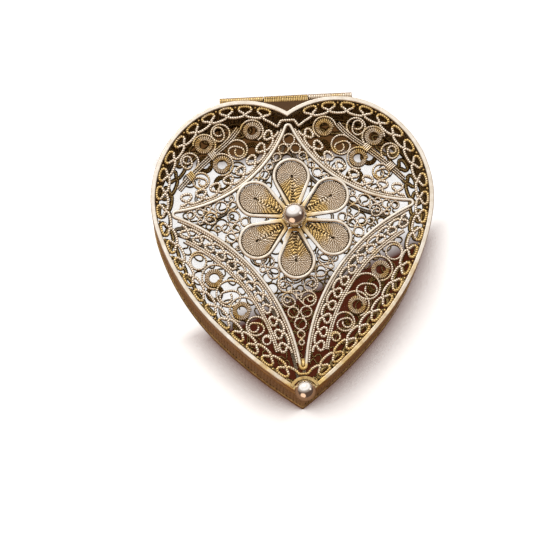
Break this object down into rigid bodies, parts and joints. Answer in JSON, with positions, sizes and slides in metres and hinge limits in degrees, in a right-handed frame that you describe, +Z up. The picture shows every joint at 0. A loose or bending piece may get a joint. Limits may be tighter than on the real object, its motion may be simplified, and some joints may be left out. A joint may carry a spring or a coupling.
{
  "type": "trinket box",
  "caption": "Shallow heart-shaped trinket box in openwork wire, with a hinged lid carrying a four-pointed star, a raised flower and a small lifting ball.",
  "frame": {"origin": "centre of the bounding box in plan, on the plane the base stands on", "axes": "+Z up out of the lid, -Y towards the heart's tip, +Y towards the hinge, X = 0 is the plane of symmetry"},
  "size_m": [0.0468, 0.0526, 0.0163],
  "materials": {
    "bright_silver": "polished silver with the gilding worn off",
    "silver_gilt_wire": "twisted wire, gilding worn to silver on the high spots",
    "gilt": "aged gilding"
  },
  "bodies": {
    "base": {"base_bottom_rail": "gilt", "base_floor_border": "gilt", "base_floor_meanders": "gilt", "base_floor_rosettes": "gilt", "base_floor_scrolls": "gilt", "base_floor_star": "gilt", "base_floor_star_scrolls": "gilt", "base_hinge_knuckle_left": "gilt", "base_hinge_knuckle_right": "gilt", "base_hinge_plate": "gilt", "base_top_rail": "gilt", "base_wall": "gilt", "hinge_pin": "gilt"},
    "lid": {"flower_ball": "bright_silver", "flower_boss": "gilt", "lid_border": "silver_gilt_wire", "lid_hinge_knuckle": "gilt", "lid_hinge_plate": "gilt", "lid_lower_edging": "silver_gilt_wire", "lid_lower_meander": "silver_gilt_wire", "lid_lower_scrolls": "silver_gilt_wire", "lid_rim": "bright_silver", "lid_rosettes": "silver_gilt_wire", "lid_spray_bindings": "silver_gilt_wire", "lid_spray_stems": "silver_gilt_wire", "lid_star_beading": "silver_gilt_wire", "lid_star_frame": "bright_silver", "lid_star_scrolls": "silver_gilt_wire", "lid_upper_meander": "silver_gilt_wire", "lid_upper_scrolls": "silver_gilt_wire", "petal_coils": "silver_gilt_wire", "petal_frames": "bright_silver", "thumb_ball": "bright_silver", "thumb_ball_strap": "gilt"}
  },
  "joints": [
    {"name": "lid_hinge", "type": "hinge", "parent": "base", "child": "lid", "pos_m": [0, 0.02576, 0.00985], "axis": [-1, 0, 0], "range_deg": [0, 105]}
  ]
}
